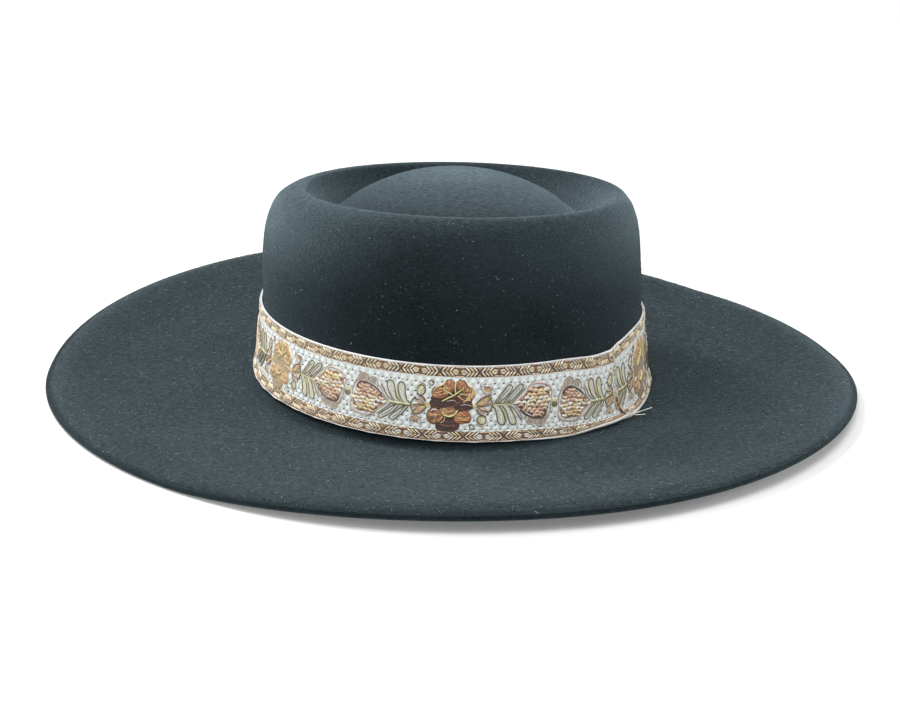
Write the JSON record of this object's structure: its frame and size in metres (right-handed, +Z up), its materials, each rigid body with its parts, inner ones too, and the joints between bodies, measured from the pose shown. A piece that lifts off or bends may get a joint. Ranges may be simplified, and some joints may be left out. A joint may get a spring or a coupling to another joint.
{
  "type": "felt hat",
  "caption": "Wide-brimmed black felt hat with a telescope crown, a raised rim round a sunken dome, and a woven floral ribbon lapped at one side.",
  "frame": {"origin": "on the floor under the middle of the brim, the bottom centre of the bounding box", "axes": "+Z up, front of the hat towards -Y, the wearer's left side, where the ribbon laps, towards +X"},
  "size_m": [0.3536, 0.3886, 0.0969],
  "materials": {
    "felt": "matt wool felt with a short nap",
    "ribbon": "woven ribbon with a slight sheen"
  },
  "bodies": {
    "root": {"crown_and_brim": "felt", "ribbon_band": "ribbon"}
  },
  "joints": []
}
